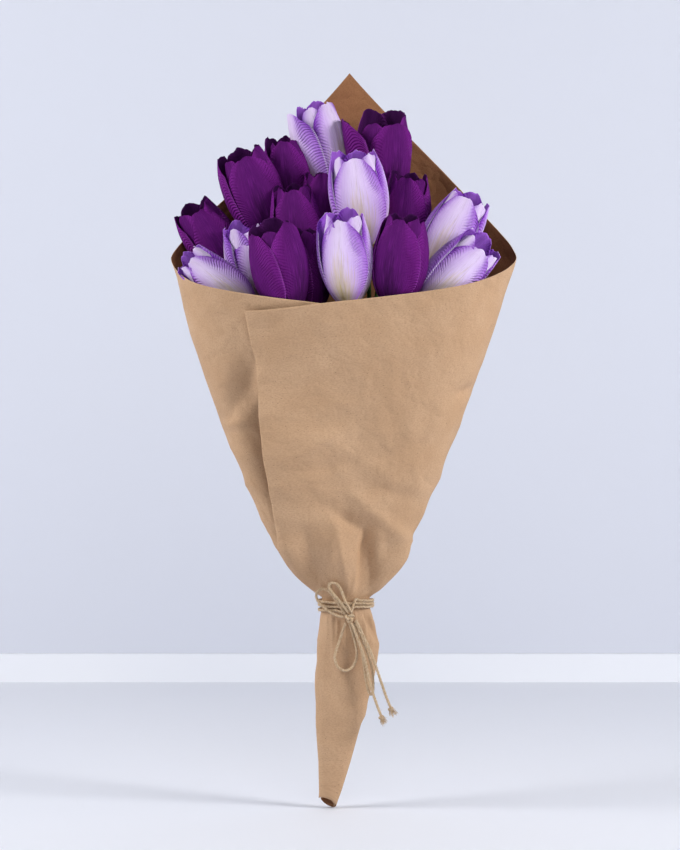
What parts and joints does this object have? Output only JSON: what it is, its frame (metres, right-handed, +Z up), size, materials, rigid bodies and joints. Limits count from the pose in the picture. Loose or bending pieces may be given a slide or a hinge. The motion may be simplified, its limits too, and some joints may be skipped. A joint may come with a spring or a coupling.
{
  "type": "wrapped artificial tulip bouquet",
  "caption": "Bunch of artificial tulips on wired stems in a rolled kraft paper cone tied at the waist with jute twine",
  "frame": {"origin": "middle of the twine tie, on the axis of the bundle of stems", "axes": "+Z up along the bunch towards the flower heads, -Y towards the front of the wrap where the flaps overlap, +X to the right seen from the front"},
  "size_m": [0.2659, 0.1315, 0.5646],
  "materials": {
    "kraft_paper": "matte, unbleached, faintly fibrous paper",
    "jute_twine": "matte twisted plant fibre with loose hairs",
    "plum_petals": "satin heat-moulded petal cloth, deep purple",
    "lilac_petals": "satin heat-moulded petal cloth, lilac shading to white",
    "stem_coating": "satin plastic coating over wire"
  },
  "bodies": {
    "wrap": {"paper_wrap": "kraft_paper", "twine_binding": "jute_twine", "twine_bow_loop_hanging": "jute_twine", "twine_bow_loop_long": "jute_twine", "twine_bow_loop_narrow": "jute_twine", "twine_bow_loop_round": "jute_twine", "twine_knot": "jute_twine", "twine_tail_left": "jute_twine", "twine_tail_right": "jute_twine"},
    "flowers": {"tulip_back_dark_left_inner_petals": "plum_petals", "tulip_back_dark_left_outer_petals": "plum_petals", "tulip_back_dark_left_stem": "stem_coating", "tulip_back_far_left_inner_petals": "plum_petals", "tulip_back_far_left_outer_petals": "plum_petals", "tulip_back_far_left_stem": "stem_coating", "tulip_back_left_inner_petals": "plum_petals", "tulip_back_left_outer_petals": "plum_petals", "tulip_back_left_stem": "stem_coating", "tulip_back_right_inner_petals": "plum_petals", "tulip_back_right_outer_petals": "plum_petals", "tulip_back_right_stem": "stem_coating", "tulip_back_top_inner_petals": "lilac_petals", "tulip_back_top_outer_petals": "lilac_petals", "tulip_back_top_stem": "stem_coating", "tulip_front_dark_left_inner_petals": "plum_petals", "tulip_front_dark_left_outer_petals": "plum_petals", "tulip_front_dark_left_stem": "stem_coating", "tulip_front_dark_right_inner_petals": "plum_petals", "tulip_front_dark_right_outer_petals": "plum_petals", "tulip_front_dark_right_stem": "stem_coating", "tulip_front_middle_inner_petals": "lilac_petals", "tulip_front_middle_outer_petals": "lilac_petals", "tulip_front_middle_stem": "stem_coating", "tulip_front_right_inner_petals": "lilac_petals", "tulip_front_right_outer_petals": "lilac_petals", "tulip_front_right_stem": "stem_coating", "tulip_front_tucked_inner_petals": "plum_petals", "tulip_front_tucked_outer_petals": "plum_petals", "tulip_front_tucked_stem": "stem_coating", "tulip_middle_dark_left_inner_petals": "plum_petals", "tulip_middle_dark_left_outer_petals": "plum_petals", "tulip_middle_dark_left_stem": "stem_coating", "tulip_middle_dark_right_inner_petals": "plum_petals", "tulip_middle_dark_right_outer_petals": "plum_petals", "tulip_middle_dark_right_stem": "stem_coating", "tulip_middle_left_inner_petals": "lilac_petals", "tulip_middle_left_outer_petals": "lilac_petals", "tulip_middle_left_stem": "stem_coating", "tulip_middle_low_inner_petals": "plum_petals", "tulip_middle_low_left_inner_petals": "lilac_petals", "tulip_middle_low_left_outer_petals": "lilac_petals", "tulip_middle_low_left_stem": "stem_coating", "tulip_middle_low_outer_petals": "plum_petals", "tulip_middle_low_stem": "stem_coating", "tulip_middle_right_inner_petals": "lilac_petals", "tulip_middle_right_outer_petals": "lilac_petals", "tulip_middle_right_stem": "stem_coating", "tulip_middle_tall_inner_petals": "lilac_petals", "tulip_middle_tall_outer_petals": "lilac_petals", "tulip_middle_tall_stem": "stem_coating"}
  },
  "joints": [
    {"name": "flowers_lift", "type": "slide", "parent": "wrap", "child": "flowers", "axis": [0, 0, 1], "range_m": [0, 0.3]}
  ]
}
